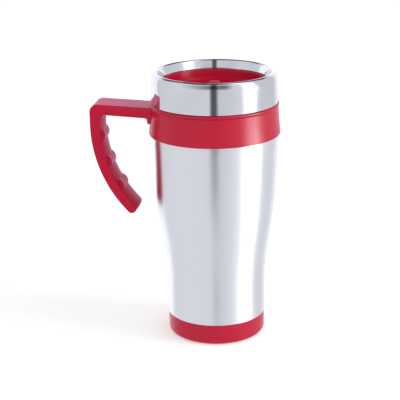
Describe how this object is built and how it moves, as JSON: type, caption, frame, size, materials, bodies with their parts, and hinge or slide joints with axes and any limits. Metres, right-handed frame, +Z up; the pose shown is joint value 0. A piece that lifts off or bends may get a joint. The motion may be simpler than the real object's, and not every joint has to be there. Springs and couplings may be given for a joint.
{
  "type": "insulated travel mug",
  "caption": "Double-walled steel travel mug with a hook handle, polished rim, plastic base and a push-in lid with a sliding drinking-hole cover.",
  "frame": {"origin": "centre of the base face that the mug stands on, on the mug's axis", "axes": "+Z up along the mug's axis; the handle points along -X; the drinking hole is on the -Y side of the lid"},
  "size_m": [0.1234, 0.0856, 0.1781],
  "materials": {
    "brushed_shell": "brushed satin",
    "polished_rim": "mirror polished steel",
    "red_plastic": "satin",
    "red_handle": "satin",
    "red_base": "satin",
    "red_lid": "satin",
    "red_slider": "satin",
    "liner_plastic": "fine moulded texture",
    "clip_plastic": "fine moulded texture",
    "gasket_silicone": "translucent satin",
    "seal_rubber": "satin",
    "pad_rubber": "matt",
    "spacer_foam": "closed-cell foam",
    "screw_steel": "zinc plated"
  },
  "bodies": {
    "mug": {"outer_shell": "brushed_shell", "rim_ring": "polished_rim", "collar": "red_plastic", "shell_seal": "seal_rubber", "liner": "liner_plastic", "liner_seal": "seal_rubber", "liner_spacer": "spacer_foam", "handle": "red_handle", "handle_screws": "screw_steel", "base_cap": "red_base", "base_seal": "seal_rubber", "base_screw": "screw_steel", "base_pad": "pad_rubber"},
    "lid": {"lid_body": "red_lid", "lid_gasket": "gasket_silicone"},
    "slider": {"lid_slider": "red_slider", "slider_seal": "gasket_silicone", "slider_clip": "clip_plastic", "slider_screw": "screw_steel"}
  },
  "joints": [
    {"name": "lid_lift", "type": "slide", "parent": "mug", "child": "lid", "axis": [0, 0, 1], "range_m": [0, 0.07]},
    {"name": "slider_slide", "type": "slide", "parent": "lid", "child": "slider", "axis": [0, 1, 0], "range_m": [0, 0.011]}
  ]
}
